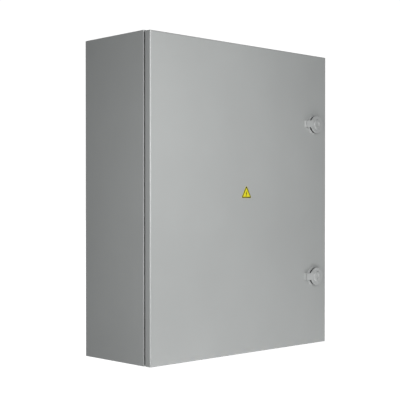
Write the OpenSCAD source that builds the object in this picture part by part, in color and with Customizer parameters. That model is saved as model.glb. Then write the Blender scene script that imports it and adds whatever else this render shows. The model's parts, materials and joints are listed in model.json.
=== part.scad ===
// Automatic transfer switch: a steel wall cabinet with a motor driven changeover switch inside.
// Millimetres. The wall is the plane y = 0, the door faces -Y and +Z is up.
// A "depth" below is a distance in front of the wall, so depth d lies at y = -d.

/* [Cabinet] */
// Overall width
body_w = 650; // [500:10:800]
// Overall height
body_h = 800; // [700:10:1000]
// Depth from the wall to the door's face
body_d = 250; // [220:5:300]
// Sheet metal thickness of body and door
sheet = 1.5; // [1.2:0.1:2]
// Outside bend radius of the body
bend_r = 2; // [2:0.5:4]
// Gap between the body's front edge and the door's edge
seam = 5.5; // [3:0.5:7]
// Width of the body's front flange, outside the sealing lip
flange_w = 20; // [20:1:30]
// How far the sealing lip stands in front of the flange
lip_h = 13.5; // [10:0.5:15]
// Radius of the wall fixing holes
wall_hole_r = 4.5; // [3:0.5:6]

/* [Door] */
// Outside bend radius of the door
door_bend_r = 3; // [2:0.5:4]
// Depth of the door's folded edge
door_fold = 18; // [16:1:25]
// How far the door's top edge lies below the body's top edge
door_drop = 2.5; // [0:0.5:4]
// Width of the sealing gasket
gasket_w = 9; // [6:1:12]
// Side of the small triangular sign
sign_side = 38; // [25:1:50]

/* [Locks] */
// Height of each lock above and below the middle of the pair
lock_z = 210; // [150:1:300]
// How far the middle of the pair lies below the door's middle
lock_sink = 2; // [0:0.5:10]
// Distance from the lock's axis to the door's edge
lock_inset = 50; // [45:1:60]
// Radius of the lock's round front flange
lock_flange_r = 27; // [25:1:30]
// Radius of the dust cover's disc
cover_r = 24; // [21:0.5:25]
// Length of the dust cover's finger tab, from the lock's axis to its tip
tab_reach = 40; // [30:1:44]
// Length of the cam, from the lock's axis to its tip
cam_reach = 42; // [38:1:46]

/* [Hinges] */
// Height of each hinge above and below the cabinet's middle
hinge_z = 290; // [200:10:330]
// Hinge pin radius
pin_r = 2; // [1.5:0.1:2.5]
// Hinge knuckle radius
knuckle_r = 4.5; // [4:0.1:4.6]

/* [Changeover switch] */
// Distance between poles
pole_pitch = 80; // [70:1:90]
// Radius of the drive shaft
shaft_r = 10; // [8:0.5:12]
// Radius of the rotor blades' tips
blade_r = 36; // [30:1:38]
// Angle of the shaft from off to either source
throw_angle = 45; // [40:1:50]

/* [Gears] */
// Gear tooth module
gear_module = 1.25; // [1:0.05:1.5]
// Teeth of a full turn of the shaft's gear
gear_teeth = 45; // [40:1:50]
// Teeth of the motor's pinion
pinion_teeth = 18; // [16:1:20]
// Thinning of each tooth flank at the pitch circle
backlash = 0.12; // [0.05:0.01:0.2]

/* [Hidden] */
$fn = 48;

paint = [0.69, 0.70, 0.69];
zinc = [0.72, 0.73, 0.74];
copper = [0.78, 0.48, 0.32];
dark = [0.16, 0.16, 0.17];
moulded = [0.84, 0.83, 0.78];
rubber = [0.10, 0.10, 0.10];

hx = body_w / 2;
hz = body_h / 2;
door_back = body_d - door_fold;
shell_front = door_back - seam;
lip_front = shell_front + lip_h;
lip_out = flange_w;
lip_in = flange_w + sheet;
door_skin = body_d - sheet;

// bottom cable entry
gland_x = 220;
gland_d = [45, 205];
gland_open_x = 200;
gland_open_d = [60, 190];
gland_t = 2;
gland_top = -hz + sheet + gland_t;
entry_d = 125;
big_entry_x = [-130, 0, 130];
small_entry_x = [-65, 65];
big_entry_r = 26;
small_entry_r = 14;

// wall fixing holes and mounting plate
wall_hole_x = 290;
wall_hole_z = 365;
plate_x = 280;
plate_z = 350;
plate_d = [25, 27.5];
plate_front = plate_d[1];
stud_x = 262;
stud_z = 332;
stud_r = 4;
earth_d = 180;
earth_z = -300;
door_earth_x = -250;

// hinge axis
hinge_x = -hx + 7;
hinge_d = body_d - 12;
knuckle_half = 22;
door_knuckle_half = 7.6;

// lock
lock_x = hx - lock_inset;
neck_r = 11;
barrel_r = 8;
shank_half = 4;
cam_d = [221.4, 223.9];
lock_d = [231, 257.3];
collar_r = 20;
barrel_face = 257;
cover_d = [257.6, 261];
boss_front = 263.5;
cover_pivot_r = 19;
cover_pivot_angle = 150;
cover_pivot = [cover_pivot_r * cos(cover_pivot_angle), cover_pivot_r * sin(cover_pivot_angle)];
cover_ear_r = 5.5;
tab_z = [-9, 10];
pivot_r = 2;
pivot_head_r = 3.6;
sign_x = 3;
sign_foot = 2.4;
sign_corner = 2.5;
sign_t = 0.4;

// bonding wire from the cabinet's earth stud to the door's, as [x, y] and its hanging shape
bond_from = [-hx + 16, -earth_d];
bond_to = [door_earth_x, -242];
bond_drop = 30;
bond_bend = 14;
bond_r = 2.6;

// source breakers
breaker_x = 125;
breaker_half = 45;
breaker_z = [165, 320];
breaker_front = 97;
breaker_pole = 30;
toggle_d = 84;
toggle_z = 242;
toggle_tilt = 18;
bottom_bolt_z = breaker_z[0] + 13;
top_bolt_z = breaker_z[1] - 13;
link_top = bottom_bolt_z + 9;
link_levels = [112, 130, 148];

// changeover switch
poles = [for (i = [0:2]) -110 + i * pole_pitch];
shaft_d = 90;
base_x = [-155, 95];
base_half = 65;
base_split = 104;
cover_front = 150;
drive_x = [97, 176];
drive_front = 122;
gear_x = [108, 116];
bar_w = 14;
bar_t = 4;
bolt_r = 3;
rear_bar_d = 49;
front_bar_d = 127;
bolt_z = 84;

// the motor sits down and behind the shaft, at this angle in Y-Z
mesh_angle = -53;
centre_distance = gear_module * (gear_teeth + pinion_teeth) / 2;
motor_y = -shaft_d + centre_distance * cos(mesh_angle);
motor_z = centre_distance * sin(mesh_angle);

// control row
rail_z = -170;
rail_front = 35;
din_half = 42.5;
duct_z = [-262, -222];
duct_half = 20;
duct_side_x = 242;
duct_front = 77.5;
slot_pitch = 25;
control_x = [-195, -159];
control_mid = (control_x[0] + control_x[1]) / 2;
control_toggle_d = 85;
controller_x = [-25, 115];
controller_front = 88;
button_x = [72, 94];
button_z = rail_z - 12;

// neutral and earth bars
bar_z = -300;
bar_ends = [20, 200];
bar_depth = [57, 62];
bar_screw_x = [for (i = [0:7]) 47 + i * 18];

// ---- outlines and simple solids ----

// Points of an arc about [x, y].
function arc(x, y, r, from, to, n = 5) =
    [for (i = [0:n]) [x + r * cos(from + (to - from) * i / n), y + r * sin(from + (to - from) * i / n)]];

// A rectangle with round corners.
function round_rect(x0, x1, y0, y1, r) = concat(
    arc(x1 - r, y1 - r, r, 0, 90), arc(x0 + r, y1 - r, r, 90, 180),
    arc(x0 + r, y0 + r, r, 180, 270), arc(x1 - r, y0 + r, r, 270, 360));

// A door pan's section: square at the back, round at both front corners.
function pan(half, back, front, r) = concat(
    [[half, -back], [-half, -back]],
    arc(-half + r, -front + r, r, 180, 270), arc(half - r, -front + r, r, 270, 360));

// Extrude an X-Z outline from one depth to another.
module forward(d0, d1) {
    translate([0, -d0, 0]) rotate([90, 0, 0]) linear_extrude(d1 - d0) children();
}

// Turn a profile of [radius, depth] points about the Y axis.
module turned(profile) {
    rotate([90, 0, 0]) rotate_extrude() polygon(profile);
}

// Extrude a Y-Z outline along X.
module across(x0, x1) {
    translate([x0, 0, 0]) rotate([90, 0, 90]) linear_extrude(x1 - x0) children();
}

module slab(x0, x1, d0, d1, z0, z1) {
    translate([x0, -d1, z0]) cube([x1 - x0, d1 - d0, z1 - z0]);
}

// A round bar along Y, from depth d0 to d1.
module bar_y(x, z, r, d0, d1) {
    translate([x, -d0, z]) rotate([90, 0, 0]) cylinder(h = d1 - d0, r = r);
}

// A round bar along X at depth d.
module bar_x(d, z, r, x0, x1) {
    translate([x0, -d, z]) rotate([0, 90, 0]) cylinder(h = x1 - x0, r = r);
}

// A round bar along Z at depth d.
module bar_up(x, d, r, z0, z1) {
    translate([x, -d, z0]) cylinder(h = z1 - z0, r = r);
}

// A hexagon along Y, across flats af.
module hex_y(x, z, af, d0, d1) {
    translate([x, -d0, z]) rotate([90, 0, 0]) cylinder(h = d1 - d0, r = af / sqrt(3), $fn = 6);
}

module ring(x_out, z_out, r_out, x_in, z_in, r_in) {
    difference() {
        polygon(round_rect(-x_out, x_out, -z_out, z_out, r_out));
        polygon(round_rect(-x_in, x_in, -z_in, z_in, r_in));
    }
}

// A block with round corners, and with bends round its front face.
module folded_block(half_x, half_z, back, front, r) {
    intersection() {
        translate([0, 0, -half_z]) linear_extrude(2 * half_z) polygon(pan(half_x, back, front, r));
        across(-half_x, half_x) polygon([for (p = pan(half_z, back, front, r)) [p[1], p[0]]]);
        forward(back - 1, front + 1) polygon(round_rect(-half_x, half_x, -half_z, half_z, r));
    }
}

// ---- cabinet ----

module cabinet_shell() {
    color(paint) difference() {
        union() {
            difference() {
                folded_block(hx, hz, 0, shell_front, bend_r);
                folded_block(hx - sheet, hz - sheet, sheet, shell_front - sheet, bend_r - sheet);
                forward(shell_front - 2 * sheet, shell_front + 1)
                    polygon(round_rect(-hx + lip_in, hx - lip_in, -hz + lip_in, hz - lip_in, bend_r));
            }
            forward(shell_front - sheet, lip_front)
                ring(hx - lip_out, hz - lip_out, bend_r + sheet, hx - lip_in, hz - lip_in, bend_r);
        }
        for (x = [-wall_hole_x, wall_hole_x], z = [-wall_hole_z, wall_hole_z])
            bar_y(x, z, wall_hole_r, -1, sheet + 1);
        slab(-gland_open_x, gland_open_x, gland_open_d[0], gland_open_d[1], -hz - 1, -hz + sheet + 1);
        gland_screw_places() cylinder(h = 2 * sheet, r = 2.7);
    }
}

module gland_screw_places() {
    for (x = [-gland_x + 10, 0, gland_x - 10], d = [gland_d[0] + 7.5, gland_d[1] - 7.5])
        translate([x, -d, -hz - sheet / 2]) children();
}

module gland_plate() {
    color(zinc) difference() {
        slab(-gland_x, gland_x, gland_d[0], gland_d[1], -hz + sheet, gland_top);
        for (x = big_entry_x)
            bar_up(x, entry_d, big_entry_r, -hz, gland_top + 1);
        for (x = small_entry_x)
            bar_up(x, entry_d, small_entry_r, -hz, gland_top + 1);
        gland_screw_places() cylinder(h = 10, r = 2.7);
    }
}

module gland_plate_screws() {
    color(zinc) gland_screw_places() union() {
        translate([0, 0, 1]) cylinder(h = gland_top + hz, r = 2.5);
        translate([0, 0, gland_top + hz + sheet / 2]) cylinder(h = 1, r = 5);
        translate([0, 0, gland_top + hz + sheet / 2 + 1]) cylinder(h = 3.5, r = 8 / sqrt(3), $fn = 6);
    }
}

// A rubber cable entry that grips the edge of its hole in the gland plate.
module grommet(x, hole_r) {
    bore_r = hole_r - 9 + (hole_r < 20 ? 2 : 0);
    translate([x, -entry_d, -hz]) rotate_extrude() polygon([
        [bore_r, 0.2], [hole_r + 3, 0.2], [hole_r + 3, sheet - 0.1], [hole_r - 0.2, sheet - 0.1],
        [hole_r - 0.2, sheet + gland_t + 0.1], [hole_r + 4, sheet + gland_t + 0.1],
        [hole_r + 4, sheet + gland_t + 3], [hole_r, sheet + gland_t + 5],
        [bore_r + 2, 15], [bore_r, 15]
    ]);
}

module cable_grommets() {
    color(rubber) {
        for (x = big_entry_x)
            grommet(x, big_entry_r);
        for (x = small_entry_x)
            grommet(x, small_entry_r);
    }
}

module stud_places() {
    for (x = [-stud_x, stud_x], z = [-stud_z, stud_z])
        translate([x, 0, z]) children();
}

module welded_studs() {
    color(zinc) {
        stud_places() union() {
            bar_y(0, 0, 8, sheet, plate_d[0]);
            bar_y(0, 0, stud_r, sheet, plate_front + 14);
        }
        bar_x(earth_d, earth_z, stud_r, -hx + sheet, -hx + 26);
    }
}

module stud_nuts() {
    color(zinc) {
        stud_places() difference() {
            union() {
                bar_y(0, 0, 9, plate_front, plate_front + 1.6);
                hex_y(0, 0, 13, plate_front + 1.6, plate_front + 8);
            }
            bar_y(0, 0, stud_r + 0.1, plate_front - 1, plate_front + 9);
        }
        difference() {
            translate([-hx + 17, -earth_d, earth_z]) rotate([0, 90, 0])
                cylinder(h = 6.4, r = 13 / sqrt(3), $fn = 6);
            bar_x(earth_d, earth_z, stud_r + 0.1, -hx + 16, -hx + 24);
        }
    }
}

module mounting_plate() {
    color(zinc) difference() {
        union() {
            forward(plate_d[0], plate_d[1]) polygon(round_rect(-plate_x, plate_x, -plate_z, plate_z, 6));
            for (side = [-1, 1])
                slab(side * plate_x - 1 - side, side * plate_x + 1 - side, 13, plate_front, -320, 320);
        }
        stud_places() bar_y(0, 0, stud_r + 0.6, plate_d[0] - 1, plate_front + 1);
    }
}

// The green-yellow bonding strap hangs in a U from the cabinet's stud to the door's stud.
module door_bond_wire() {
    run = norm(bond_to - bond_from);
    turn = atan2(bond_to[1] - bond_from[1], bond_to[0] - bond_from[0]);
    color([0.55, 0.65, 0.15]) union() {
        translate([bond_from[0], bond_from[1], earth_z]) rotate([0, 0, turn]) {
            translate([0, 0, -bond_drop]) cylinder(h = bond_drop - 9, r = bond_r);
            translate([run, 0, -bond_drop]) cylinder(h = bond_drop - 9, r = bond_r);
            translate([bond_bend, 0, -bond_drop]) rotate([90, 0, 0]) rotate([0, 0, 180])
                rotate_extrude(angle = 90) translate([bond_bend, 0]) circle(r = bond_r);
            translate([run - bond_bend, 0, -bond_drop]) rotate([90, 0, 0]) rotate([0, 0, 270])
                rotate_extrude(angle = 90) translate([bond_bend, 0]) circle(r = bond_r);
            translate([bond_bend, 0, -bond_drop - bond_bend]) rotate([0, 90, 0])
                cylinder(h = run - 2 * bond_bend, r = bond_r);
        }
        difference() {
            union() {
                bar_x(earth_d, earth_z, 8, bond_from[0] - 1, bond_from[0] + 1);
                slab(bond_from[0] - 1, bond_from[0] + 1, earth_d - 3, earth_d + 3, earth_z - 12, earth_z - 3);
            }
            bar_x(earth_d, earth_z, stud_r + 0.1, bond_from[0] - 2, bond_from[0] + 2);
        }
        difference() {
            union() {
                bar_y(bond_to[0], earth_z, 8, -bond_to[1] - 1, -bond_to[1] + 1);
                slab(bond_to[0] - 3, bond_to[0] + 3, -bond_to[1] - 1, -bond_to[1] + 1,
                    earth_z - 12, earth_z - 3);
            }
            bar_y(bond_to[0], earth_z, stud_r - 0.9, -bond_to[1] - 2, -bond_to[1] + 2);
        }
    }
}

// ---- hinges ----

module hinge_places() {
    for (z = [-hinge_z, hinge_z])
        translate([0, 0, z]) children();
}

module hinge_cabinet_leaves() {
    lip_face = -hx + lip_out;
    color(zinc) hinge_places() difference() {
        union() {
            for (side = [-1, 1]) {
                z0 = side > 0 ? 8 : -knuckle_half;
                bar_up(hinge_x, hinge_d, knuckle_r, z0, z0 + knuckle_half - 8);
                slab(hinge_x, lip_face, hinge_d, hinge_d + 1.6, z0, z0 + knuckle_half - 8);
            }
            slab(lip_face - 2, lip_face, shell_front, hinge_d + 1.6, -knuckle_half, knuckle_half);
            slab(lip_face - 6.5, lip_face, shell_front, shell_front + 1.6, -knuckle_half, knuckle_half);
        }
        bar_up(hinge_x, hinge_d, pin_r + 0.02, -knuckle_half - 1, knuckle_half + 1);
    }
}

module hinge_pins() {
    color(zinc) hinge_places() union() {
        bar_up(hinge_x, hinge_d, pin_r, -knuckle_half - 2, knuckle_half + 0.5);
        bar_up(hinge_x, hinge_d, 3.2, knuckle_half + 0.2, knuckle_half + 2.2);
    }
}

module hinge_door_leaves() {
    web_x = -hx + door_bend_r + 0.1;
    color(zinc) hinge_places() difference() {
        union() {
            bar_up(hinge_x, hinge_d, knuckle_r, -door_knuckle_half, door_knuckle_half);
            slab(web_x, web_x + 1.8, hinge_d, door_skin, -door_knuckle_half, door_knuckle_half);
            slab(web_x, hinge_x + 6, door_skin - 1.8, door_skin, -knuckle_half, knuckle_half);
        }
        bar_up(hinge_x, hinge_d, pin_r + 0.1, -knuckle_half, knuckle_half);
    }
}

// ---- door ----

// The door's pan before it is hollowed, shrunk all round by inset.
module door_block(inset) {
    half_z = hz - door_drop / 2 - inset;
    translate([0, 0, -door_drop / 2])
        folded_block(hx - inset, half_z, door_back - inset, body_d - inset, door_bend_r - inset);
}

module lock_places() {
    for (side = [-1, 1])
        lock_at(side) children();
}

module lock_at(side) {
    translate([lock_x, 0, side * lock_z - lock_sink - door_drop / 2]) children();
}

module door_panel() {
    color(paint) difference() {
        door_block(0);
        door_block(sheet);
        lock_places() bar_y(0, 0, neck_r + 0.25, door_skin - 1, body_d + 1);
    }
}

module door_gasket() {
    out = flange_w - 5;
    color(rubber) forward(lip_front + 0.3, door_skin)
        ring(hx - out, hz - out, 8, hx - out - gasket_w, hz - out - gasket_w, 4);
}

// A perforated channel welded inside the door.
module door_stiffeners() {
    half = 10;
    top = 340;
    color(zinc) for (x = [-hx + 43, hx - 87]) difference() {
        slab(x - half, x + half, door_skin - 12.5, door_skin, -top, top);
        slab(x - half + sheet, x + half - sheet, door_skin - 11, door_skin + 1, -top - 1, top + 1);
        for (z = [-top + 15:slot_pitch:top - 10])
            bar_y(x, z, 2.75, door_skin - 14, door_skin - 10);
    }
}

module door_earth_stud() {
    color(zinc) translate([door_earth_x, 0, earth_z]) {
        bar_y(0, 0, 3, 230, door_skin);
        difference() {
            hex_y(0, 0, 10, 234, 241);
            bar_y(0, 0, 3.1, 233, 242);
        }
    }
}

module warning_sign() {
    reach = sign_side / sqrt(3) - 2 * sign_corner;
    middle = sign_foot + sign_corner + reach / 2;
    color([0.95, 0.78, 0.10]) forward(body_d, body_d + sign_t) polygon([
        for (a = [90, 210, 330])
            each arc(sign_x + reach * cos(a), middle + reach * sin(a), sign_corner, a - 60, a + 60)
    ]);
}

// ---- locks ----

module lock_housing() {
    bore = barrel_r + 0.3;
    rim = body_d + 3;
    color(paint) union() {
        turned([
            [bore, lock_d[0]], [neck_r, lock_d[0]], [neck_r, body_d], [lock_flange_r, body_d],
            [lock_flange_r, body_d + 1], [lock_flange_r - 1.5, rim], [collar_r, rim],
            [collar_r, lock_d[1]], [bore, lock_d[1]]
        ]);
        tab_rest();
        bar_y(cover_pivot[0], cover_pivot[1], pivot_r, rim - 1, cover_d[1] + 1.8);
        bar_y(cover_pivot[0], cover_pivot[1], pivot_head_r, cover_d[1] + 0.3, cover_d[1] + 1.8);
    }
}

// The ramp under the dust cover's tab, from the door's face up to the collar's level.
module tab_rest() {
    foot = -tab_reach + 0.5;
    root = -lock_flange_r + 2.6;
    translate([0, 0, tab_z[0] + 0.5]) linear_extrude(tab_z[1] - tab_z[0] - 1) polygon([
        [root, -body_d], [foot, -body_d], [foot, -body_d - 0.6], [foot + 6, -lock_d[1]], [root, -lock_d[1]]
    ]);
}

module lock_housing_upper() {
    lock_at(1) lock_housing();
}

module lock_housing_lower() {
    lock_at(-1) lock_housing();
}

module lock_nuts() {
    color(zinc) lock_places() difference() {
        hex_y(0, 0, 30, door_skin - 6, door_skin);
        bar_y(0, 0, neck_r + 0.05, door_skin - 7, door_skin + 1);
    }
}

module lock_barrel() {
    face = barrel_face;
    color(zinc) difference() {
        union() {
            bar_y(0, 0, barrel_r, cam_d[1] + 0.1, face);
            slab(-shank_half, shank_half, cam_d[0] + 0.1, cam_d[1] + 1, -shank_half, shank_half);
        }
        difference() {
            bar_y(0, 0, 5.5, face - 9, face + 1);
            bar_y(0, 0, 1.5, face - 10, face - 1);
            slab(-3.2, 3.2, face - 10, face - 1, -0.9, 0.9);
        }
        bar_y(0, 0, 2.6, cam_d[0] - 1, cam_d[1] + 10);
    }
}

module lock_barrel_upper() {
    lock_at(1) lock_barrel();
}

module lock_barrel_lower() {
    lock_at(-1) lock_barrel();
}

module lock_cam() {
    half = 8;
    color(zinc) difference() {
        forward(cam_d[0], cam_d[1]) polygon(concat(
            arc(0, 0, 12, -40, 220, 12), arc(0, -cam_reach + half, half, 180, 360, 8)));
        slab(-shank_half - 0.1, shank_half + 0.1, cam_d[0] - 1, cam_d[1] + 1,
            -shank_half - 0.1, shank_half + 0.1);
    }
}

module lock_cam_upper() {
    lock_at(1) lock_cam();
}

module lock_cam_lower() {
    lock_at(-1) lock_cam();
}

module cam_bolt() {
    color(zinc) union() {
        bar_y(0, 0, 7.5, cam_d[0] - 1.2, cam_d[0]);
        hex_y(0, 0, 8, cam_d[0] - 5, cam_d[0] - 1);
        bar_y(0, 0, 2.5, cam_d[0] - 2, cam_d[1] + 8);
    }
}

module cam_bolt_upper() {
    lock_at(1) cam_bolt();
}

module cam_bolt_lower() {
    lock_at(-1) cam_bolt();
}

// A round cover that swings on the lock's rivet, with a raised ring and a sloping finger tab.
module dust_cover() {
    back = cover_d[0];
    front = cover_d[1];
    color(paint) difference() {
        union() {
            turned([
                [0, back], [cover_r - 0.5, back], [cover_r, back + 0.5], [cover_r, front - 0.8],
                [cover_r - 0.8, front], [14.5, front], [12, boss_front], [7.5, boss_front],
                [6.4, front + 0.2], [0, front + 0.2]
            ]);
            bar_y(cover_pivot[0], cover_pivot[1], cover_ear_r, back, front);
            intersection() {
                translate([0, 0, -10]) linear_extrude(20) polygon([
                    [-14, -back], [-tab_reach, -back], [-tab_reach, -back - 0.8], [-19, -boss_front + 0.3],
                    [-17, -front - 0.3], [-14, -front]
                ]);
                forward(back - 1, boss_front + 1) polygon(round_rect(-tab_reach, -10, tab_z[0], tab_z[1], 4));
            }
        }
        bar_y(cover_pivot[0], cover_pivot[1], pivot_r + 0.3, back - 1, front + 1);
        bar_y(cover_pivot[0], cover_pivot[1], pivot_head_r + 0.6, front, boss_front + 1);
    }
}

module dust_cover_upper() {
    lock_at(1) dust_cover();
}

module dust_cover_lower() {
    lock_at(-1) dust_cover();
}

// ---- source breakers ----

module breaker_case(x) {
    z_mid = toggle_z;
    color(dark) difference() {
        union() {
            forward(plate_front, breaker_front) polygon(
                round_rect(x - breaker_half, x + breaker_half, breaker_z[0], breaker_z[1], 2));
            forward(plate_front, breaker_front + 8) polygon(
                round_rect(x - 24, x + 24, z_mid - 30, z_mid + 30, 3));
        }
        for (i = [-1:1], end = [0, 1]) {
            px = x + i * breaker_pole;
            z0 = end == 0 ? breaker_z[0] - 1 : breaker_z[1] - 27;
            slab(px - 11, px + 11, rear_bar_d, breaker_front + 1, z0, z0 + 28);
            bar_y(px, z0 + 14, bolt_r + 0.4, rear_bar_d - 7, rear_bar_d + 1);
        }
        slab(x - 9, x + 9, toggle_d - 11, toggle_d + 8, z_mid - 17, z_mid + 17);
        slab(x - 8, x + 8, toggle_d, breaker_front + 9, z_mid - 17, z_mid + 17);
    }
}

module source_breaker_1() {
    breaker_case(-breaker_x);
}

module source_breaker_2() {
    breaker_case(breaker_x);
}

// A toggle about the origin, pointing at -Y: a round hub with a tapered grip.
module toggle(x0, x1, hub, length, root, tip) {
    union() {
        across(x0, x1) circle(r = hub);
        across(x0, x1) polygon(concat([[0, root], [0, -root]],
            arc(-length + 1, -tip + 1, 1, 270, 180, 3), arc(-length + 1, tip - 1, 1, 180, 90, 3)));
    }
}

module breaker_toggle(x) {
    color([0.92, 0.92, 0.90]) translate([0, -toggle_d, toggle_z]) rotate([toggle_tilt, 0, 0])
        toggle(x - 7.4, x + 7.4, 7, 34, 5, 3.2);
}

module breaker_toggle_1() {
    breaker_toggle(-breaker_x);
}

module breaker_toggle_2() {
    breaker_toggle(breaker_x);
}

module breaker_pole_places() {
    for (side = [-1, 1], i = [-1:1])
        translate([side * breaker_x + i * breaker_pole, 0, 0]) children();
}

module breaker_terminals() {
    color(copper) breaker_pole_places() for (z = [bottom_bolt_z, top_bolt_z]) difference() {
        slab(-9.5, 9.5, rear_bar_d, rear_bar_d + bar_t, z - 11, z + 11);
        bar_y(0, z, bolt_r + 0.1, rear_bar_d - 1, rear_bar_d + bar_t + 1);
    }
}

// One bolt: a hexagon head with its washer, seated at the given depth.
module terminal_bolt(x, z, seat) {
    union() {
        bar_y(x, z, 6.2, seat, seat + 1.2);
        hex_y(x, z, 10, seat + 1.2, seat + 5.2);
        bar_y(x, z, bolt_r, seat - 8, seat + 1);
    }
}

module terminal_bolts() {
    color(zinc) {
        breaker_pole_places() {
            terminal_bolt(0, bottom_bolt_z, rear_bar_d + 2 * bar_t);
            terminal_bolt(0, top_bolt_z, rear_bar_d + bar_t);
        }
        for (x = poles) {
            terminal_bolt(x, bolt_z, rear_bar_d + 2 * bar_t);
            terminal_bolt(x, bolt_z, front_bar_d + 2 * bar_t);
            terminal_bolt(x, -bolt_z, shaft_d + bar_t / 2);
        }
        for (x = bar_screw_x, side = [-1, 1])
            terminal_bolt(side * x, bar_z, bar_depth[1]);
    }
}

// ---- changeover switch ----

module changeover_base() {
    color(moulded) difference() {
        forward(plate_front, base_split) polygon(
            round_rect(base_x[0], base_x[1], -base_half, base_half, 3));
        for (x = poles) {
            slab(x - 28, x + 28, 40, base_split + 1, -50, 50);
            slab(x - 10.1, x + 10.1, rear_bar_d, rear_bar_d + bar_t, 49, base_half + 1);
            slab(x - 10.1, x + 10.1, shaft_d - bar_t / 2, shaft_d + bar_t / 2, -base_half - 1, -49);
        }
        bar_x(shaft_d, 0, shaft_r + 0.4, base_x[0] - 1, base_x[1] + 1);
    }
}

module changeover_cover() {
    color(moulded) difference() {
        union() {
            forward(base_split + 0.2, cover_front - 6) polygon(
                round_rect(base_x[0], base_x[1], -base_half, base_half, 3));
            forward(base_split + 0.2, cover_front) polygon(
                round_rect(base_x[0] + 6, base_x[1] - 6, -base_half + 10, base_half - 10, 4));
        }
        for (x = poles) {
            slab(x - 34, x + 34, base_split, cover_front - 10, -50, 50);
            slab(x - 10.1, x + 10.1, front_bar_d, front_bar_d + bar_t, 49, base_half + 1);
        }
    }
}

// A source contact beside the blade's end of travel, with its bar up out of the switch.
// side is 1 for the front row and -1 for the rear row.
module source_contact(x, side) {
    far = (front_bar_d - shaft_d) * side;
    difference() {
        union() {
            translate([x - 10, -shaft_d, 0]) rotate([side * throw_angle, 0, 0])
                translate([0, side > 0 ? -9 : 4.4, 20]) cube([20, 4.6, blade_r - 20]);
            slab(x - 10, x + 10, shaft_d + min(side * 21, far), shaft_d + max(side * 21, far + side * bar_t),
                5, 12);
            slab(x - 10, x + 10, shaft_d + min(far, far + side * bar_t),
                shaft_d + max(far, far + side * bar_t), 5, 94);
        }
        bar_y(x, bolt_z, bolt_r + 0.1, 0, cover_front);
    }
}

module fixed_contacts() {
    color(copper) for (x = poles) {
        source_contact(x, 1);
        source_contact(x, -1);
        difference() {
            slab(x - 10, x + 10, shaft_d - bar_t / 2, shaft_d + bar_t / 2, -94, -16.6);
            bar_y(x, -bolt_z, bolt_r + 0.1, 0, cover_front);
        }
    }
}

// A flat link in X-Z: down from a breaker's pole, across at its own level, down to a switch pole.
module link_run(from_x, to_x, top, level, d0) {
    w = bar_w / 2;
    difference() {
        union() {
            slab(from_x - w, from_x + w, d0, d0 + bar_t, level - w, top);
            slab(min(from_x, to_x) - w, max(from_x, to_x) + w, d0, d0 + bar_t, level - w, level + w);
            slab(to_x - w, to_x + w, d0, d0 + bar_t, bolt_z - 11, level + w);
        }
        bar_y(to_x, bolt_z, bolt_r + 0.1, d0 - 1, d0 + bar_t + 1);
        bar_y(from_x, bottom_bolt_z, bolt_r + 0.1, d0 - 1, d0 + bar_t + 1);
    }
}

module source_1_links() {
    color(copper) for (i = [0:2])
        link_run(-breaker_x + (i - 1) * breaker_pole, poles[i], link_top, link_levels[i],
            rear_bar_d + bar_t);
}

// These start in the breaker's terminals, step forward, then run in front of the other links.
module source_2_links() {
    w = bar_w / 2;
    step_z = link_levels[2] + w;
    d1 = front_bar_d + bar_t;
    color(copper) for (i = [0:2]) {
        from_x = breaker_x + (i - 1) * breaker_pole;
        union() {
            difference() {
                slab(from_x - w, from_x + w, rear_bar_d + bar_t, rear_bar_d + 2 * bar_t,
                    step_z - bar_t, link_top);
                bar_y(from_x, bottom_bolt_z, bolt_r + 0.1, 0, body_d);
            }
            slab(from_x - w, from_x + w, rear_bar_d + bar_t, d1 + bar_t, step_z - bar_t, step_z);
            link_run(from_x, poles[i], step_z, link_levels[2 - i], d1);
        }
    }
}

module changeover_shaft() {
    color(zinc) union() {
        bar_x(shaft_d, 0, shaft_r, base_x[0] - 5, drive_x[1] + 16);
        bar_x(shaft_d, 0, shaft_r + 3, base_x[0] - 5, base_x[0] - 1);
    }
}

module rotor_blades() {
    color(copper) for (x = poles) difference() {
        union() {
            bar_x(shaft_d, 0, 16, x - 12, x + 12);
            slab(x - 10, x + 10, shaft_d - 4, shaft_d + 4, 0, blade_r);
        }
        bar_x(shaft_d, 0, shaft_r, x - 13, x + 13);
    }
}

// Involute of a circle, in degrees, at pressure angle a.
function involute(a) = tan(a) * 180 / PI - a;

// One tooth's flank and crest points, centred on angle "at".
function tooth(at, teeth, m) = let (
    rp = m * teeth / 2, rb = rp * cos(20), ra = rp + m, rf = rp - 1.25 * m,
    half = 90 / teeth - backlash / rp * 180 / PI,
    low = max(rb, rf),
    radii = [for (i = [0:3]) low + (ra - low) * i / 3],
    flank = [for (r = radii) half + involute(20) - involute(acos(rb / r))]
) concat(
    [[rf * cos(at - flank[0]), rf * sin(at - flank[0])]],
    [for (i = [0:3]) [radii[i] * cos(at - flank[i]), radii[i] * sin(at - flank[i])]],
    [for (i = [3:-1:0]) [radii[i] * cos(at + flank[i]), radii[i] * sin(at + flank[i])]],
    [[rf * cos(at + flank[0]), rf * sin(at + flank[0])]]);

// Only the teeth that the pinion reaches are cut.
module shaft_gear() {
    reach = 8;
    step = 360 / gear_teeth;
    color(zinc) translate([0, -shaft_d, 0]) difference() {
        across(gear_x[0], gear_x[1]) union() {
            polygon(concat([[0, 0]], [for (i = [-reach:reach])
                each tooth(mesh_angle + i * step, gear_teeth, gear_module)]));
            circle(r = 16);
        }
        translate([gear_x[0] - 1, 0, 0]) rotate([0, 90, 0]) cylinder(h = 20, r = shaft_r);
    }
}

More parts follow.
